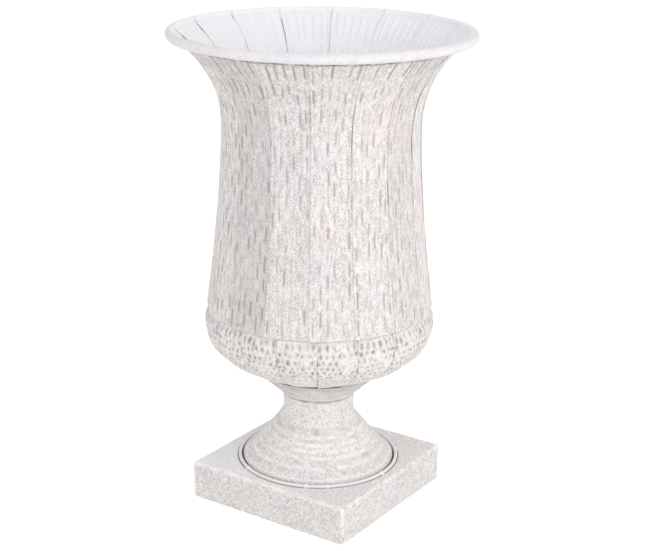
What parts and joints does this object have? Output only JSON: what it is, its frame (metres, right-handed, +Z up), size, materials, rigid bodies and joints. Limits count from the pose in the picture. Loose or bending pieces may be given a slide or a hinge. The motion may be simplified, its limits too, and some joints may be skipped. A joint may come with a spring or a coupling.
{
  "type": "metal vase",
  "caption": "Tall urn-shaped vase of lapped embossed sheet-metal panels, with a rolled rim, dimpled bowl, turned pedestal and square plinth.",
  "frame": {"origin": "centre of the plinth's underside, on the ground", "axes": "+Z up along the vase's axis; X and Y square to the plinth's sides"},
  "size_m": [0.31, 0.31, 0.4999],
  "materials": {
    "washed_stave_steel": "matte, sandy whitewash over embossed sheet",
    "washed_petal_steel": "matte, sandy whitewash over dimpled sheet",
    "washed_rim_steel": "matte, fine sandy off-white",
    "washed_base_steel": "matte, stone-like mottled whitewash",
    "washed_inner_steel": "matte, smooth off-white",
    "plain_steel_bar": "matte grey primer",
    "zinc_plated_steel": "satin zinc plating"
  },
  "bodies": {
    "root": {"stave_01": "washed_stave_steel", "stave_02": "washed_stave_steel", "stave_03": "washed_stave_steel", "stave_04": "washed_stave_steel", "stave_05": "washed_stave_steel", "stave_06": "washed_stave_steel", "stave_07": "washed_stave_steel", "stave_08": "washed_stave_steel", "stave_09": "washed_stave_steel", "stave_10": "washed_stave_steel", "stave_11": "washed_stave_steel", "stave_12": "washed_stave_steel", "stave_13": "washed_stave_steel", "stave_14": "washed_stave_steel", "stave_15": "washed_stave_steel", "stave_16": "washed_stave_steel", "petal_01": "washed_petal_steel", "petal_02": "washed_petal_steel", "petal_03": "washed_petal_steel", "petal_04": "washed_petal_steel", "petal_05": "washed_petal_steel", "petal_06": "washed_petal_steel", "petal_07": "washed_petal_steel", "petal_08": "washed_petal_steel", "petal_09": "washed_petal_steel", "petal_10": "washed_petal_steel", "petal_11": "washed_petal_steel", "petal_12": "washed_petal_steel", "petal_13": "washed_petal_steel", "petal_14": "washed_petal_steel", "petal_15": "washed_petal_steel", "petal_16": "washed_petal_steel", "petal_17": "washed_petal_steel", "petal_18": "washed_petal_steel", "rim_bead": "washed_rim_steel", "foot_ring": "washed_rim_steel", "collar": "washed_base_steel", "pedestal": "washed_base_steel", "plinth": "washed_base_steel", "bowl_floor": "washed_inner_steel", "bridge_bar": "plain_steel_bar", "tie_bolt": "zinc_plated_steel", "bowl_washer": "zinc_plated_steel", "foot_washer": "zinc_plated_steel", "foot_nut": "zinc_plated_steel"}
  },
  "joints": []
}
